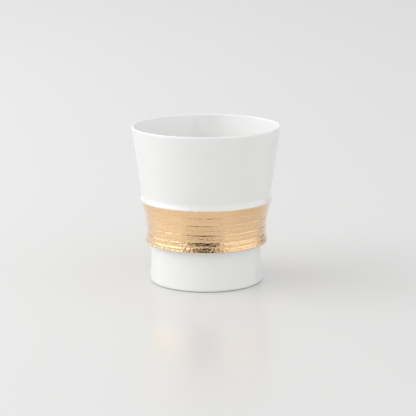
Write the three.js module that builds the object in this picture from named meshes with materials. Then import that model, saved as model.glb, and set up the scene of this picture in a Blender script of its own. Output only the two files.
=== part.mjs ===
// A porcelain cup without a handle, cast and fired as one piece: a tapered body over a raised ring,
// a waisted band with turned grooves, and a narrower foot. It is gilded from the ring down to the foot.
// Millimetres, +Z up, with the origin on the table under the middle of the cup.

import * as THREE from 'three';

// Heights of the three stacked forms, from the table up
const FOOT_HEIGHT = 24.4;
const BAND_HEIGHT = 26.4;
const BODY_HEIGHT = 44.5;

// Outer diameters, measured at the corners before they are rounded
const RIM_DIAMETER = 90;
const NECK_DIAMETER = 78.4;
const RING_DIAMETER = 80.7;
const WAIST_DIAMETER = 73.1;
const BAND_EDGE_DIAMETER = 74.8;
const FOOT_TOP_DIAMETER = 66.9;
const FOOT_DIAMETER = 68.8;

// The band: its narrowest level above its underside, and the grooves turned into it,
// each with a steep ledge below its deepest line and a long slope above it
const WAIST_HEIGHT = 7.1;
const GROOVE_DEPTH = 0.2;
const GROOVE_LEDGE = 0.6;
const GROOVE_SLOPE = 1.4;
const GROOVE_LEVELS = [0.12, 0.238, 0.42, 0.637, 0.825];

// The ring falls back to the neck over this height
const RING_SHOULDER = 2.6;

// How the foot spreads: 1 is a straight cone, and more keeps the spread low down
const FOOT_SPREAD = 1.6;

// Walls, floor and the recess under the floor that leaves a ring to stand on
const LIP_THICKNESS = 1.6;
const WALL_THICKNESS = 2.8;
const FLOOR_THICKNESS = 3.4;
const RECESS_DEPTH = 2.6;
const STANDING_RING_WIDTH = 3.4;

// Radii of the rounded corners
const STANDING_EDGE_ROUNDING = 1.4;
const RECESS_ROUNDING = 0.8;
const STEP_FILLET = 1.6;
const BAND_EDGE_ROUNDING = 0.6;
const RING_ROUNDING = 0.8;
const NECK_FILLET = 5;
const FLOOR_FILLET = 10;

// Fineness of the faceted surface
const SIDES = 64;
const CORNER_STEPS = 3;
const LIP_STEPS = 6;
const FOOT_STEPS = 4;
const NARROWING_STEPS = 8;

// Levels that follow from the stacked heights
const crestHeight = FOOT_HEIGHT + BAND_HEIGHT;
const rimHeight = crestHeight + BODY_HEIGHT;
const floorHeight = RECESS_DEPTH + FLOOR_THICKNESS;

// A point of the cup's outline: its distance from the axis and its height.
const point = (radius, height) => new THREE.Vector2(radius, height);

// The rounding of a corner, as points on an arc that touches the runs before and after it.
function rounded(before, corner, after, size, steps = CORNER_STEPS) {
  const back = before.clone().sub(corner).normalize();
  const onward = after.clone().sub(corner).normalize();
  const halfAngle = Math.acos(back.dot(onward)) / 2;
  const inward = back.clone().add(onward).normalize();
  const centre = corner.clone().addScaledVector(inward, size / Math.sin(halfAngle));
  const first = corner.clone().addScaledVector(back, size / Math.tan(halfAngle));
  const turn = Math.sign(onward.cross(back)) * (Math.PI - 2 * halfAngle);
  return Array.from({ length: steps + 1 }, (_, step) =>
    first.clone().rotateAround(centre, (turn * step) / steps));
}

// The underside: the recess in the middle and the ring that the cup stands on.
function undersideOutline() {
  const axis = point(0, RECESS_DEPTH);
  const recess = point(FOOT_DIAMETER / 2 - STANDING_RING_WIDTH, RECESS_DEPTH);
  const innerEdge = point(recess.x, 0);
  const outerEdge = point(FOOT_DIAMETER / 2, 0);
  const above = point(outerEdge.x, FOOT_HEIGHT);
  return [
    axis,
    ...rounded(axis, recess, innerEdge, RECESS_ROUNDING),
    ...rounded(recess, innerEdge, outerEdge, RECESS_ROUNDING),
    ...rounded(innerEdge, outerEdge, above, STANDING_EDGE_ROUNDING),
  ];
}

// The side of the foot, which spreads towards the table.
function footOutline() {
  const spread = (FOOT_DIAMETER - FOOT_TOP_DIAMETER) / 2;
  const height = FOOT_HEIGHT - STEP_FILLET - STANDING_EDGE_ROUNDING;
  return Array.from({ length: FOOT_STEPS }, (_, step) => {
    const share = (step + 1) / FOOT_STEPS;
    const radius = FOOT_TOP_DIAMETER / 2 + spread * (1 - share) ** FOOT_SPREAD;
    return point(radius, STANDING_EDGE_ROUNDING + share * height);
  });
}

// The band's surface without its grooves: two arcs that meet upright at the waist.
function bandRadius(height) {
  const waistRadius = WAIST_DIAMETER / 2;
  const fromWaist = height - FOOT_HEIGHT - WAIST_HEIGHT;
  const endRadius = (fromWaist > 0 ? RING_DIAMETER : BAND_EDGE_DIAMETER) / 2;
  const endHeight = fromWaist > 0 ? BAND_HEIGHT - WAIST_HEIGHT : WAIST_HEIGHT;
  const spread = endRadius - waistRadius;
  const arcRadius = (endHeight ** 2 + spread ** 2) / (2 * spread);
  return waistRadius + arcRadius - Math.sqrt(arcRadius ** 2 - fromWaist ** 2);
}

const bandPoint = (height) => point(bandRadius(height), height);

// The corner where the band's underside steps out from the foot.
function stepCorners() {
  const inside = point(FOOT_TOP_DIAMETER / 2, FOOT_HEIGHT);
  const edge = point(BAND_EDGE_DIAMETER / 2, FOOT_HEIGHT);
  return { below: point(inside.x, 0), inside, edge };
}

function stepOutline() {
  const { below, inside, edge } = stepCorners();
  return rounded(below, inside, edge, STEP_FILLET).slice(1);
}

// The band, from its rounded lower edge up: a plain point before each groove, and three on the groove.
function bandOutline() {
  const { inside, edge } = stepCorners();
  const outline = rounded(inside, edge, bandPoint(FOOT_HEIGHT + BAND_EDGE_ROUNDING), BAND_EDGE_ROUNDING);
  for (const level of GROOVE_LEVELS) {
    const groove = bandPoint(FOOT_HEIGHT + level * BAND_HEIGHT);
    const start = bandPoint(groove.y - GROOVE_LEDGE);
    const end = bandPoint(groove.y + GROOVE_SLOPE);
    groove.x -= GROOVE_DEPTH;
    outline.push(bandPoint((outline.at(-1).y + start.y) / 2), start, groove, end);
  }
  const top = bandPoint(crestHeight - RING_ROUNDING);
  outline.push(bandPoint((outline.at(-1).y + top.y) / 2), top);
  return outline;
}

// The raised ring above the band, and the fillet from it to the tapered body.
function ringOutline() {
  const below = bandPoint(crestHeight - RING_ROUNDING);
  const crest = point(RING_DIAMETER / 2, crestHeight);
  const neck = point(NECK_DIAMETER / 2, crestHeight + RING_SHOULDER);
  const rim = point(RIM_DIAMETER / 2, rimHeight - LIP_THICKNESS / 2);
  return [...rounded(below, crest, neck, RING_ROUNDING), ...rounded(crest, neck, rim, NECK_FILLET)];
}

// The lip: a half round from the outer wall over to the inner one.
function lipOutline() {
  const rounding = LIP_THICKNESS / 2;
  const centre = point(RIM_DIAMETER / 2 - rounding, rimHeight - rounding);
  const outer = point(RIM_DIAMETER / 2, centre.y);
  return Array.from({ length: LIP_STEPS + 1 }, (_, step) =>
    outer.clone().rotateAround(centre, (Math.PI * step) / LIP_STEPS));
}

// The inside: a cone down to the ring, a smooth narrowing behind the band, and a rounded floor.
function insideOutline() {
  const lip = point(RIM_DIAMETER / 2 - LIP_THICKNESS, rimHeight - LIP_THICKNESS / 2);
  const neck = point(NECK_DIAMETER / 2 - WALL_THICKNESS, crestHeight + RING_SHOULDER);
  const top = crestHeight - WALL_THICKNESS;
  const bottom = FOOT_HEIGHT - WALL_THICKNESS;
  const topRadius = lip.clone().lerp(neck, (lip.y - top) / (lip.y - neck.y)).x;
  const bottomRadius = FOOT_TOP_DIAMETER / 2 - WALL_THICKNESS;
  const narrowing = Array.from({ length: NARROWING_STEPS + 1 }, (_, step) => {
    const share = step / NARROWING_STEPS;
    const eased = (1 - Math.cos(Math.PI * share)) / 2;
    return point(topRadius + eased * (bottomRadius - topRadius), top + share * (bottom - top));
  });
  const corner = point(bottomRadius, floorHeight);
  const axis = point(0, floorHeight);
  const fillet = Math.min(FLOOR_FILLET, bottom - floorHeight);
  return [...narrowing, ...rounded(narrowing.at(-1), corner, axis, fillet, 2 * CORNER_STEPS), axis];
}

const plainBelow = [...undersideOutline(), ...footOutline(), ...stepOutline()];
const gilded = bandOutline();
const plainAbove = [...ringOutline(), ...lipOutline(), ...insideOutline()];
const outline = [...plainBelow, ...gilded, ...plainAbove];
const geometry = new THREE.LatheGeometry(outline, SIDES);

// White glaze all over, and gilding on the rows of the band
const glazeColour = new THREE.Color(0xeceeed);
const gildingColour = new THREE.Color(0xe0b16a);
const isGilded = (row) => row >= plainBelow.length && row < plainBelow.length + gilded.length;
const column = outline.flatMap((_, row) => (isGilded(row) ? gildingColour : glazeColour).toArray());
const colours = Array.from({ length: SIDES + 1 }, () => column).flat();
geometry.setAttribute('color', new THREE.Float32BufferAttribute(colours, 3));
geometry.rotateX(Math.PI / 2);

const porcelain = new THREE.MeshStandardMaterial({ vertexColors: true, roughness: 0.15, metalness: 0 });
const cup = new THREE.Mesh(geometry, porcelain);
cup.name = 'cup';

const model = new THREE.Group();
model.add(cup);

export default model;
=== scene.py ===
import math
import random

import bpy
from mathutils import Matrix, Vector


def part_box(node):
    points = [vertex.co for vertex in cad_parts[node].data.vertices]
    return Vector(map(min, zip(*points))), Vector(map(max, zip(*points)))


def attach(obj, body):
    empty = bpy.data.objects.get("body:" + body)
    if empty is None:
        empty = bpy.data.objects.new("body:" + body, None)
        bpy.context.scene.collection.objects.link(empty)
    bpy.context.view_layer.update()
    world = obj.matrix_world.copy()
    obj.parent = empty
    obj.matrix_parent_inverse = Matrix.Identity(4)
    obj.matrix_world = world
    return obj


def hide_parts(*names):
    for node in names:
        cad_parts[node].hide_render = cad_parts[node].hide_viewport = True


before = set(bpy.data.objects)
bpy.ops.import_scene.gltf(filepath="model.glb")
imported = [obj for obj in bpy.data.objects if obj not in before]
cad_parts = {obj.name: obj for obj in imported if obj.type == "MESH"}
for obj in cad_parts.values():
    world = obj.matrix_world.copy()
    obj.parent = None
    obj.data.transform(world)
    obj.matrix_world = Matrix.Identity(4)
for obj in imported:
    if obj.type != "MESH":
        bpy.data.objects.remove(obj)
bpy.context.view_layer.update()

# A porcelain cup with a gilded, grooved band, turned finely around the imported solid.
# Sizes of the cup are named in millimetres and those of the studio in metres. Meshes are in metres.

MM = 0.001

# Sizes of the cup, the same as the solid's
FOOT_HEIGHT = 24.4
BAND_HEIGHT = 26.4
NECK_DIAMETER = 78.4
RING_DIAMETER = 80.7
WAIST_DIAMETER = 73.1
BAND_EDGE_DIAMETER = 74.8
FOOT_TOP_DIAMETER = 66.9
FOOT_DIAMETER = 68.8
WAIST_HEIGHT = 7.1
RING_SHOULDER = 2.6
FOOT_SPREAD = 1.6
LIP_THICKNESS = 1.6
WALL_THICKNESS = 2.8
FLOOR_THICKNESS = 3.4
RECESS_DEPTH = 2.6
STANDING_RING_WIDTH = 3.4
STANDING_EDGE_ROUNDING = 1.4
RECESS_ROUNDING = 0.8
STEP_FILLET = 1.6
BAND_EDGE_ROUNDING = 0.6
RING_ROUNDING = 0.8
NECK_FILLET = 5
FLOOR_FILLET = 10

# The rest of the cup's sizes come from the solid's box
CUP_LOW, CUP_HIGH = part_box("cup")
RIM_DIAMETER = (CUP_HIGH.x - CUP_LOW.x) / MM
RIM_HEIGHT = (CUP_HIGH.z - CUP_LOW.z) / MM
CREST_HEIGHT = FOOT_HEIGHT + BAND_HEIGHT
FLOOR_HEIGHT = RECESS_DEPTH + FLOOR_THICKNESS

# Grooves of the band: deepest levels as shares of its height, with a steep ledge under each
GROOVE_LEVELS = (0.12, 0.238, 0.42, 0.637, 0.825)
GROOVE_LEDGE = 0.6
GROOVE_SLOPE = 1.4
GROOVE_DEPTH = 0.2

# How the grooves wander up and down on their way round the cup: the height of each wave, how often
# it comes round, and its phase
GROOVE_WANDER = ((0.12, 2, 0.7), (0.06, 5, 0))

# How the grooves' depth varies on the way: its mean, its swing, and how often the swing comes round
GROOVE_MEAN = 0.85
GROOVE_SWING = 0.15
GROOVE_WAVES = 3

# Fainter grooves between them, deepest where they face this many degrees to the right of the front
FAINT_LEVELS = (0.19, 0.345, 0.535, 0.725, 0.905)
FAINT_FACING = 60
FAINT_DEPTH = 0.06

# Turned lines: short scratches that fade in and out around the band. Their levels are shares of
# its height, and their reaches are degrees to either side.
LINE_COUNT = 46
LINE_LEVELS = (0.04, 0.97)
LINE_DEPTH = (0.006, 0.02)
LINE_HALF_WIDTH = (0.2, 0.4)
LINE_REACH = (25, 80)
LINE_SEED = 9

# Fineness of the turned surface: sides, rows of each run, and steps of the rounded corners
SEGMENTS = 256
RECESS_ROWS = 12
FOOT_ROWS = 24
BAND_ROWS = 160
BODY_ROWS = 24
CONE_ROWS = 20
NARROWING_ROWS = 28
FLOOR_ROWS = 10
CORNER_STEPS = 8
FLOOR_CORNER_STEPS = 16
LIP_STEPS = 16

# The bare ring under the foot ends on this step of its outer rounding, and glaze covers the rest
BARE_CORNER_STEPS = 4

# Zones of the outline, which are also the slots of the cup's materials
GLAZED, GILDED, BARE = range(3)


def point(radius, height):
    return Vector((radius, height))


def spin(offset, angle):
    return Matrix.Rotation(angle, 2) @ offset


def rounded(before, corner, after, size, steps=CORNER_STEPS):
    """The rounding of a corner, as points on an arc that touches the runs before and after it."""
    back = (before - corner).normalized()
    onward = (after - corner).normalized()
    half_angle = back.angle(onward) / 2
    centre = corner + (back + onward).normalized() * size / math.sin(half_angle)
    first = corner + back * size / math.tan(half_angle) - centre
    turn = math.copysign(math.pi - 2 * half_angle, onward.cross(back))
    return [centre + spin(first, turn * step / steps) for step in range(steps + 1)]


def ease(share):
    """A smooth step from 0 to 1 that is level at both ends."""
    return (1 - math.cos(math.pi * share)) / 2


def run(start, end, steps):
    """Evenly spaced points after start, up to and with end."""
    return [start.lerp(end, (step + 1) / steps) for step in range(steps)]


def underside_outline():
    """The glazed recess in the middle, the bare ring that the cup stands on, and its glazed outer edge."""
    axis = point(0, RECESS_DEPTH)
    recess = point(FOOT_DIAMETER / 2 - STANDING_RING_WIDTH, RECESS_DEPTH)
    inner_edge = point(recess.x, 0)
    outer_edge = point(FOOT_DIAMETER / 2, 0)
    above = point(outer_edge.x, FOOT_HEIGHT)
    recess_corner = rounded(axis, recess, inner_edge, RECESS_ROUNDING)
    glazed = [axis] + run(axis, recess_corner[0], RECESS_ROWS) + recess_corner[1:]
    bare = rounded(recess, inner_edge, outer_edge, RECESS_ROUNDING)
    outer_corner = rounded(inner_edge, outer_edge, above, STANDING_EDGE_ROUNDING)
    bare += outer_corner[:BARE_CORNER_STEPS]
    return glazed, bare, outer_corner[BARE_CORNER_STEPS:]


def foot_outline():
    """The side of the foot, which spreads towards the table, and the corner under the band."""
    spread = (FOOT_DIAMETER - FOOT_TOP_DIAMETER) / 2
    height = FOOT_HEIGHT - STEP_FILLET - STANDING_EDGE_ROUNDING
    outline = []
    for row in range(1, FOOT_ROWS + 1):
        share = row / FOOT_ROWS
        radius = FOOT_TOP_DIAMETER / 2 + spread * (1 - share) ** FOOT_SPREAD
        outline.append(point(radius, STANDING_EDGE_ROUNDING + share * height))
    inside = point(FOOT_TOP_DIAMETER / 2, FOOT_HEIGHT)
    edge = point(BAND_EDGE_DIAMETER / 2, FOOT_HEIGHT)
    return outline + rounded(point(inside.x, 0), inside, edge, STEP_FILLET)[1:]


def band_radius(height):
    """The band without its relief: two arcs that meet upright at the waist."""
    waist_radius = WAIST_DIAMETER / 2
    from_waist = height - FOOT_HEIGHT - WAIST_HEIGHT
    end_radius = (RING_DIAMETER if from_waist > 0 else BAND_EDGE_DIAMETER) / 2
    end_height = BAND_HEIGHT - WAIST_HEIGHT if from_waist > 0 else WAIST_HEIGHT
    spread = end_radius - waist_radius
    arc_radius = (end_height ** 2 + spread ** 2) / (2 * spread)
    return waist_radius + arc_radius - math.sqrt(arc_radius ** 2 - from_waist ** 2)


def band_point(height):
    return point(band_radius(height), height)


def band_outline():
    """The band from the rounding of its lower edge to where the raised ring begins."""
    inside = point(FOOT_TOP_DIAMETER / 2, FOOT_HEIGHT)
    edge = point(BAND_EDGE_DIAMETER / 2, FOOT_HEIGHT)
    low = FOOT_HEIGHT + BAND_EDGE_ROUNDING
    high = CREST_HEIGHT - RING_ROUNDING
    outline = rounded(inside, edge, band_point(low), BAND_EDGE_ROUNDING)
    start = outline[-1].y
    for row in range(1, BAND_ROWS + 1):
        outline.append(band_point(start + (high - start) * row / BAND_ROWS))
    return outline


def ring_outline():
    """The raised ring, which carries the gilding's ragged edge, and the neck above it."""
    below = band_point(CREST_HEIGHT - RING_ROUNDING)
    crest = point(RING_DIAMETER / 2, CREST_HEIGHT)
    neck = point(NECK_DIAMETER / 2, CREST_HEIGHT + RING_SHOULDER)
    rim = point(RIM_DIAMETER / 2, RIM_HEIGHT - LIP_THICKNESS / 2)
    return rounded(below, crest, neck, RING_ROUNDING), rounded(crest, neck, rim, NECK_FILLET)


def lip_outline():
    """The lip: a half round from the outer wall over to the inner one."""
    rounding = LIP_THICKNESS / 2
    centre = point(RIM_DIAMETER / 2 - rounding, RIM_HEIGHT - rounding)
    outer = point(rounding, 0)
    return [centre + spin(outer, math.pi * step / LIP_STEPS) for step in range(LIP_STEPS + 1)]


def inside_outline():
    """The inside: a cone down to the ring, a smooth narrowing behind the band, and a rounded floor."""
    lip = point(RIM_DIAMETER / 2 - LIP_THICKNESS, RIM_HEIGHT - LIP_THICKNESS / 2)
    neck = point(NECK_DIAMETER / 2 - WALL_THICKNESS, CREST_HEIGHT + RING_SHOULDER)
    top = CREST_HEIGHT - WALL_THICKNESS
    bottom = FOOT_HEIGHT - WALL_THICKNESS
    cone_end = lip.lerp(neck, (lip.y - top) / (lip.y - neck.y))
    bottom_radius = FOOT_TOP_DIAMETER / 2 - WALL_THICKNESS
    outline = run(lip, cone_end, CONE_ROWS)
    for row in range(1, NARROWING_ROWS + 1):
        share = row / NARROWING_ROWS
        radius = cone_end.x + ease(share) * (bottom_radius - cone_end.x)
        outline.append(point(radius, top + share * (bottom - top)))
    axis = point(0, FLOOR_HEIGHT)
    corner = point(bottom_radius, FLOOR_HEIGHT)
    fillet = min(FLOOR_FILLET, bottom - FLOOR_HEIGHT)
    outline += rounded(outline[-1], corner, axis, fillet, FLOOR_CORNER_STEPS)
    return outline + run(outline[-1], axis, FLOOR_ROWS)


def cup_outline():
    """The outline from the underside's middle round to the floor's, and the zone of each point."""
    underside, standing_ring, standing_edge = underside_outline()
    ring, neck = ring_outline()
    body = run(neck[-1], point(RIM_DIAMETER / 2, RIM_HEIGHT - LIP_THICKNESS / 2), BODY_ROWS)
    parts = [
        (underside, GLAZED),
        (standing_ring, BARE),
        (standing_edge, GLAZED),
        (foot_outline(), GLAZED),
        (band_outline(), GILDED),
        (ring, GILDED),
        (neck, GLAZED),
        (body, GLAZED),
        (lip_outline()[1:], GLAZED),
        (inside_outline(), GLAZED),
    ]
    outline = []
    zones = []
    for points, zone in parts:
        outline += points
        zones += [zone] * len(points)
    return outline, zones


def turned_lines():
    """Heights, half widths, depths, facings and reaches of the turned lines, the same on every run."""
    dice = random.Random(LINE_SEED)
    lines = []
    for _ in range(LINE_COUNT):
        height = FOOT_HEIGHT + BAND_HEIGHT * dice.uniform(*LINE_LEVELS)
        half_width = dice.uniform(*LINE_HALF_WIDTH)
        depth = dice.uniform(*LINE_DEPTH)
        facing = dice.uniform(0, 2 * math.pi)
        reach = math.radians(dice.uniform(*LINE_REACH))
        lines.append((height, half_width, depth, facing, reach))
    return lines


def bump(distance, half_width):
    """A smooth bump from 0 at its edges to 1 in the middle."""
    share = abs(distance) / half_width
    return ease(1 - share) if share < 1 else 0


def groove(height, level):
    """A groove that is 1 deep at its level, with a steep ledge below and a long slope above."""
    distance = height - FOOT_HEIGHT - level * BAND_HEIGHT
    return bump(distance, GROOVE_SLOPE) if distance > 0 else max(0, 1 + distance / GROOVE_LEDGE)


def angle_between(first, second):
    return abs((first - second + math.pi) % (2 * math.pi) - math.pi)


def relief(height, angle, lines):
    """How far the gilded surface lies under the band's plain arcs."""
    wander = sum(swing * math.sin(waves * angle + phase) for swing, waves, phase in GROOVE_WANDER)
    strength = GROOVE_MEAN + GROOVE_SWING * math.sin(GROOVE_WAVES * angle + height)
    depth = GROOVE_DEPTH * strength * sum(groove(height + wander, level) for level in GROOVE_LEVELS)
    faint = max(0, math.cos(angle - math.radians(FAINT_FACING))) ** 2
    depth += FAINT_DEPTH * faint * sum(groove(height - wander, level) for level in FAINT_LEVELS)
    for line_height, half_width, line_depth, facing, reach in lines:
        if abs(height - line_height) < half_width:
            fade = bump(angle_between(angle, facing), reach)
            depth += line_depth * fade * bump(height - line_height, half_width)
    return depth


def turned_vertices(outline, zones):
    """A vertex on the axis at each end of the outline, and a ring of them for each point between."""
    lines = turned_lines()
    low = FOOT_HEIGHT + BAND_EDGE_ROUNDING
    high = CREST_HEIGHT - RING_ROUNDING
    vertices = [(0, 0, outline[0].y * MM)]
    for place, zone in zip(outline[1:-1], zones[1:-1]):
        in_relief = zone == GILDED and low < place.y < high
        for column in range(SEGMENTS):
            angle = 2 * math.pi * column / SEGMENTS
            radius = place.x - (relief(place.y, angle, lines) if in_relief else 0)
            x = radius * math.sin(angle)
            y = -radius * math.cos(angle)
            vertices.append((x * MM, y * MM, place.y * MM))
    vertices.append((0, 0, outline[-1].y * MM))
    return vertices


def turned_faces(zones):
    """Triangles round the two vertices on the axis, quads between the rings, and each face's slot."""
    rings = len(zones) - 2
    last = 1 + rings * SEGMENTS
    faces = []
    slots = []
    for column in range(SEGMENTS):
        across = (column + 1) % SEGMENTS
        faces.append((0, 1 + across, 1 + column))
        slots.append(zones[0])
    for ring in range(rings - 1):
        below = 1 + ring * SEGMENTS
        above = below + SEGMENTS
        for column in range(SEGMENTS):
            across = (column + 1) % SEGMENTS
            faces.append((below + column, below + across, above + across, above + column))
            slots.append(zones[ring + 1])
    below = last - SEGMENTS
    for column in range(SEGMENTS):
        across = (column + 1) % SEGMENTS
        faces.append((below + column, below + across, last))
        slots.append(zones[-1])
    return faces, slots


def add_object(name, data):
    added = bpy.data.objects.new(name, data)
    bpy.context.scene.collection.objects.link(added)
    return added


def turned_cup():
    """The cup as one closed mesh: its outline turned about the axis, with relief on the band."""
    outline, zones = cup_outline()
    faces, slots = turned_faces(zones)
    mesh = bpy.data.meshes.new("turned_cup")
    mesh.from_pydata(turned_vertices(outline, zones), [], faces)
    mesh.polygons.foreach_set("material_index", slots)
    mesh.polygons.foreach_set("use_smooth", [True] * len(faces))
    mesh.update()
    return add_object("porcelain_cup", mesh)


# Numbers of the Mix node's sockets, which share their names
MIX_SHARE = 0
MIX_VALUES = (2, 3)
MIX_COLOURS = (6, 7)
MIXED_VALUE = 0
MIXED_COLOUR = 2


class Nodes:
    """Short ways to add and link the nodes of a tree."""

    def __init__(self, tree):
        self.tree = tree

    def add(self, kind, inputs=None, **properties):
        added = self.tree.nodes.new(kind)
        for name, value in properties.items():
            setattr(added, name, value)
        for socket, value in (inputs or {}).items():
            self.put(added.inputs[socket], value)
        return added

    def put(self, socket, value):
        if isinstance(value, bpy.types.NodeSocket):
            self.tree.links.new(value, socket)
        else:
            socket.default_value = value

    def maths(self, operation, *values):
        return self.add("ShaderNodeMath", dict(enumerate(values)), operation=operation).outputs[0]


class Shader(Nodes):
    """A node material with one Principled shader, and its colours, values and bumps as nodes."""

    def __init__(self, name):
        self.material = bpy.data.materials.new(name)
        self.material.use_nodes = True
        super().__init__(self.material.node_tree)
        self.principled = next(n for n in self.tree.nodes if n.type == "BSDF_PRINCIPLED")
        self.place = self.add("ShaderNodeTexCoord").outputs["Object"]

    def surface(self, **values):
        for name, value in values.items():
            self.put(self.principled.inputs[name.replace("_", " ")], value)

    def noise(self, scale, detail, stretch=(1, 1, 1), roughness=0.5):
        """Noise from 0 to 1, with features about 1/scale of a metre, flattened along stretched axes."""
        scaled = self.add("ShaderNodeMapping", {"Vector": self.place, "Scale": stretch}).outputs[0]
        inputs = {"Vector": scaled, "Scale": scale, "Detail": detail, "Roughness": roughness}
        return self.add("ShaderNodeTexNoise", inputs).outputs["Fac"]

    def remap(self, value, low, high, to_low=0.0, to_high=1.0):
        inputs = {"Value": value, "From Min": low, "From Max": high, "To Min": to_low, "To Max": to_high}
        return self.add("ShaderNodeMapRange", inputs, interpolation_type="SMOOTHSTEP").outputs[0]

    def mix(self, share, first, second):
        inputs = {MIX_SHARE: share, MIX_COLOURS[0]: first, MIX_COLOURS[1]: second}
        return self.add("ShaderNodeMix", inputs, data_type="RGBA").outputs[MIXED_COLOUR]

    def mix_values(self, share, first, second):
        inputs = {MIX_SHARE: share, MIX_VALUES[0]: first, MIX_VALUES[1]: second}
        return self.add("ShaderNodeMix", inputs).outputs[MIXED_VALUE]

    def bump(self, height, distance, normal=None):
        inputs = {"Height": height, "Distance": distance, "Strength": 1.0}
        if normal:
            inputs["Normal"] = normal
        return self.add("ShaderNodeBump", inputs).outputs[0]


# Noises are named by their scale and detail, and some by their stretch along the three axes too.
# Their ranges are the values between which one look fades into the other.

# White glaze, with a faint cloud in its colour, uneven gloss, and ripples with a depth in millimetres
GLAZE_COLOUR = (0.85, 0.85, 0.845, 1)
GLAZE_POOLED = (0.83, 0.83, 0.825, 1)
GLAZE_CLOUD = (38, 3)
GLAZE_CLOUD_RANGE = (0.35, 0.7)
GLAZE_ROUGHNESS = (0.1, 0.18)
GLAZE_GLOSS = (130, 2)
GLAZE_GLOSS_RANGE = (0.3, 0.7)
GLAZE_RIPPLE = (260, 2)
GLAZE_RIPPLE_DEPTH = 0.01
GLAZE_IOR = 1.5

# Gold, with streaks around the band and pale flecks, under a clear coat that sharpens its gloss
GOLD_COLOUR = (0.93, 0.55, 0.21, 1)
GOLD_DEEP = (0.86, 0.48, 0.16, 1)
GOLD_PALE = (0.98, 0.68, 0.36, 1)
GOLD_ROUGHNESS = (0.02, 0.05)
GOLD_STREAKS = (90, 3, (1, 1, 14))
GOLD_STREAK_RANGE = (0.35, 0.65)
GOLD_GLOSS_RANGE = (0.3, 0.7)
GOLD_FLECKS = (1300, 1)
GOLD_FLECK_RANGE = (0.4, 0.6)
GOLD_FLECK_SHARE = 0.6
COAT_IOR = 2.4
COAT_ROUGHNESS = 0.05

# Brush marks around the band, and a hammered grain that is deeper on the band's lower flare.
# Depths are in millimetres. The flare's top is given as the heights between which the grain changes.
BRUSH_MARKS = (420, 3, (0.2, 0.2, 3))
BRUSH_DEPTH = 0.1
GRAIN = (650, 3)
BAND_GRAIN = 0.35
FLARE_GRAIN = 0.55
FLARE_TOP = (FOOT_HEIGHT + 3.5, FOOT_HEIGHT + 6)

# The gilding's edges, in millimetres above the table, and how far they wander
GILDING_TOP = CREST_HEIGHT - 0.3
GILDING_BOTTOM = FOOT_HEIGHT + 0.1
TOP_WANDER = 2.4
BOTTOM_WANDER = 0.8
GILDING_SOFTNESS = 0.08
RAGGED_NOISE = (500, 4)
RAGGED_ROUGHNESS = 0.65
NOISE_MEAN = 0.5

# Bare ceramic, greyed by use, with a grit whose depth is in millimetres
BARE_COLOUR = (0.8, 0.78, 0.74, 1)
BARE_DARK = (0.66, 0.64, 0.6, 1)
BARE_ROUGHNESS = (0.6, 0.85)
BARE_GRIT = (900, 4)
BARE_COLOUR_RANGE = (0.35, 0.75)
BARE_GLOSS_RANGE = (0.3, 0.7)
BARE_GRIT_DEPTH = 0.04


def white_nodes(shader):
    """The white glaze's clouded colour and its roughness."""
    cloud = shader.remap(shader.noise(*GLAZE_CLOUD), *GLAZE_CLOUD_RANGE)
    colour = shader.mix(cloud, GLAZE_COLOUR, GLAZE_POOLED)
    return colour, shader.remap(shader.noise(*GLAZE_GLOSS), *GLAZE_GLOSS_RANGE, *GLAZE_ROUGHNESS)


def glaze():
    """White glaze with a slightly uneven surface."""
    shader = Shader("white_glaze")
    colour, roughness = white_nodes(shader)
    ripple = shader.bump(shader.noise(*GLAZE_RIPPLE), GLAZE_RIPPLE_DEPTH * MM)
    shader.surface(Base_Color=colour, Roughness=roughness, Normal=ripple, IOR=GLAZE_IOR)
    return shader.material


def gilded_share(shader, height):
    """1 on the gilding and 0 on the white above and below it, with ragged edges between them."""
    noise = shader.noise(*RAGGED_NOISE, roughness=RAGGED_ROUGHNESS)
    ragged = shader.maths("SUBTRACT", noise, NOISE_MEAN)
    top = GILDING_TOP * MM
    bottom = GILDING_BOTTOM * MM
    soft = GILDING_SOFTNESS * MM
    wandered = shader.maths("MULTIPLY_ADD", ragged, TOP_WANDER * MM, height)
    below_top = shader.remap(wandered, top - soft, top + soft, 1, 0)
    wandered = shader.maths("MULTIPLY_ADD", ragged, BOTTOM_WANDER * MM, height)
    above_bottom = shader.remap(wandered, bottom - soft, bottom + soft)
    return shader.maths("MULTIPLY", below_top, above_bottom)


def gilding():
    """Brushed and hammered gold on the band, with a ragged edge against the white glaze."""
    shader = Shader("gilded_band")
    white, white_roughness = white_nodes(shader)
    height = shader.add("ShaderNodeSeparateXYZ", {0: shader.place}).outputs["Z"]
    gold = gilded_share(shader, height)

    streaks = shader.noise(*GOLD_STREAKS)
    colour = shader.mix(shader.remap(streaks, *GOLD_STREAK_RANGE), GOLD_COLOUR, GOLD_DEEP)
    flecks = shader.remap(shader.noise(*GOLD_FLECKS), *GOLD_FLECK_RANGE, 0, GOLD_FLECK_SHARE)
    colour = shader.mix(flecks, colour, GOLD_PALE)
    roughness = shader.remap(streaks, *GOLD_GLOSS_RANGE, *GOLD_ROUGHNESS)

    brushed = shader.bump(shader.noise(*BRUSH_MARKS), BRUSH_DEPTH * MM)
    flare_low, flare_high = (level * MM for level in FLARE_TOP)
    grain_depth = shader.remap(height, flare_low, flare_high, FLARE_GRAIN, BAND_GRAIN)
    grain = shader.maths("MULTIPLY", shader.noise(*GRAIN), grain_depth)
    grained = shader.bump(grain, MM, brushed)
    shader.surface(
        Base_Color=shader.mix(gold, white, colour),
        Metallic=gold,
        Roughness=shader.mix_values(gold, white_roughness, roughness),
        Normal=grained,
        IOR=GLAZE_IOR,
        Coat_Weight=gold,
        Coat_IOR=COAT_IOR,
        Coat_Roughness=COAT_ROUGHNESS,
        Coat_Normal=grained,
    )
    return shader.material


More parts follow.
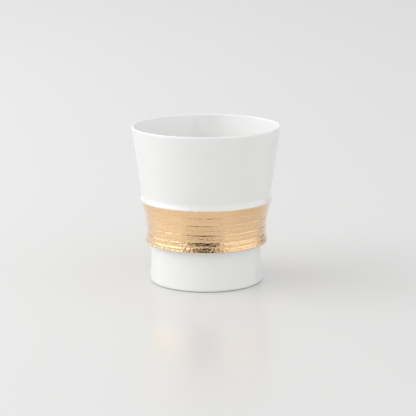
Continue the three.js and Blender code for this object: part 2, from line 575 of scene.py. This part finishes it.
def bare_ceramic():
    """The unglazed ring that the cup stands on."""
    shader = Shader("bare_foot_ring")
    grit = shader.noise(*BARE_GRIT)
    colour = shader.mix(shader.remap(grit, *BARE_COLOUR_RANGE), BARE_COLOUR, BARE_DARK)
    roughness = shader.remap(grit, *BARE_GLOSS_RANGE, *BARE_ROUGHNESS)
    rough = shader.bump(grit, BARE_GRIT_DEPTH * MM)
    shader.surface(Base_Color=colour, Roughness=roughness, Normal=rough, IOR=GLAZE_IOR)
    return shader.material


# Camera, fitted to the ellipses of the rim, ring, band and foot
LENS = 139.1
SENSOR = 36
CAMERA_DISTANCE = 980 * MM
CAMERA_ELEVATION = 12.1
CAMERA_ROLL = 0.17
CAMERA_TARGET = Vector((1.06, 0, 44.2)) * MM
CAMERA_REACH = 50


def place_camera():
    elevation = math.radians(CAMERA_ELEVATION)
    forward = Vector((0, math.cos(elevation), -math.sin(elevation)))
    data = bpy.data.cameras.new("camera")
    data.lens = LENS
    data.sensor_width = SENSOR
    data.clip_end = CAMERA_REACH
    camera = add_object("camera", data)
    aimed = forward.to_track_quat("-Z", "Y").to_matrix()
    turned = aimed @ Matrix.Rotation(-math.radians(CAMERA_ROLL), 3, "Z")
    camera.matrix_world = Matrix.Translation(CAMERA_TARGET - forward * CAMERA_DISTANCE) @ turned.to_4x4()
    bpy.context.scene.camera = camera


# Even white light all round, with broad glows in it: the direction and the strength of each
WHITE = (1, 1, 1, 1)
EVEN_LIGHT = 0.56
GLOWS = (
    ((0, -0.85, 0.52), 0.49),
    ((0.96, 0, 0.28), 0.56),
    ((-0.7, 0.7, 0), 0.64),
)

# A large soft light on the left, with its power in watts
KEY_SIZE = (2.2, 1.3)
KEY_PLACE = Vector((-1.6, -0.2, 1.1))
KEY_TARGET = Vector((0, 0, 0.05))
KEY_POWER = 19.2

# A pale floor with a soft gloss
FLOOR_SIDE = 12
FLOOR_COLOUR = (0.705, 0.703, 0.699, 1)
FLOOR_ROUGHNESS = 0.24
FLOOR_IOR = 1.4

# Dark panels around the studio, seen only in reflections: two edges, as degrees to the right of
# the front, and how many degrees above the table they reach
PANEL_DISTANCE = 4
PANEL_COLOUR = (0.02, 0.02, 0.02, 1)
PANEL_ROUGHNESS = 0.9
DARK_PANELS = ((-31, 25, 51), (120, 144, 17), (-140, -128, 11))


def glowing_world():
    """Even light, and glows that fade with the squared cosine of the angle from their direction."""
    world = bpy.data.worlds.new("studio")
    world.use_nodes = True
    nodes = Nodes(world.node_tree)
    direction = nodes.add("ShaderNodeTexCoord").outputs["Generated"]
    strength = EVEN_LIGHT
    for towards, glow in GLOWS:
        inputs = {0: direction, 1: towards}
        cosine = nodes.add("ShaderNodeVectorMath", inputs, operation="DOT_PRODUCT").outputs["Value"]
        facing = nodes.maths("MAXIMUM", cosine, 0)
        strength = nodes.maths("MULTIPLY_ADD", nodes.maths("MULTIPLY", facing, facing), glow, strength)
    background = world.node_tree.nodes["Background"]
    nodes.put(background.inputs["Color"], WHITE)
    nodes.put(background.inputs["Strength"], strength)
    bpy.context.scene.world = world


def key_light():
    data = bpy.data.lights.new("key", "AREA")
    data.shape = "RECTANGLE"
    data.size, data.size_y = KEY_SIZE
    data.energy = KEY_POWER
    light = add_object("key", data)
    light.location = KEY_PLACE
    light.rotation_euler = (KEY_TARGET - KEY_PLACE).to_track_quat("-Z", "Y").to_euler()
    light.visible_camera = False


def flat_sheet(name, corners, material):
    """A flat sheet of the studio, which is no part of the cup."""
    mesh = bpy.data.meshes.new(name)
    mesh.from_pydata(corners, [], [tuple(range(len(corners)))])
    mesh.materials.append(material)
    sheet = add_object(name, mesh)
    return sheet


def floor():
    shader = Shader("floor")
    shader.surface(Base_Color=FLOOR_COLOUR, Roughness=FLOOR_ROUGHNESS, IOR=FLOOR_IOR)
    half = FLOOR_SIDE / 2
    corners = [(-half, -half, 0), (half, -half, 0), (half, half, 0), (-half, half, 0)]
    flat_sheet("floor", corners, shader.material)


def dark_panels():
    shader = Shader("dark_panel")
    shader.surface(Base_Color=PANEL_COLOUR, Roughness=PANEL_ROUGHNESS)
    for number, (left, right, reach) in enumerate(DARK_PANELS):
        height = PANEL_DISTANCE * math.tan(math.radians(reach))
        places = [math.radians(left), math.radians(right)]
        x_left, x_right = (PANEL_DISTANCE * math.sin(place) for place in places)
        y_left, y_right = (-PANEL_DISTANCE * math.cos(place) for place in places)
        corners = [(x_right, y_right, 0), (x_left, y_left, 0)]
        corners += [(x_left, y_left, height), (x_right, y_right, height)]
        panel = flat_sheet(f"dark_panel_{number}", corners, shader.material)
        panel.visible_camera = False
        panel.visible_diffuse = False
        panel.visible_shadow = False


def studio():
    glowing_world()
    bpy.context.scene.view_settings.view_transform = "Standard"
    key_light()
    floor()
    dark_panels()


place_camera()
studio()

cup = turned_cup()
cup.data.materials.append(glaze())
cup.data.materials.append(gilding())
cup.data.materials.append(bare_ceramic())
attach(cup, "root")
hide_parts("cup")
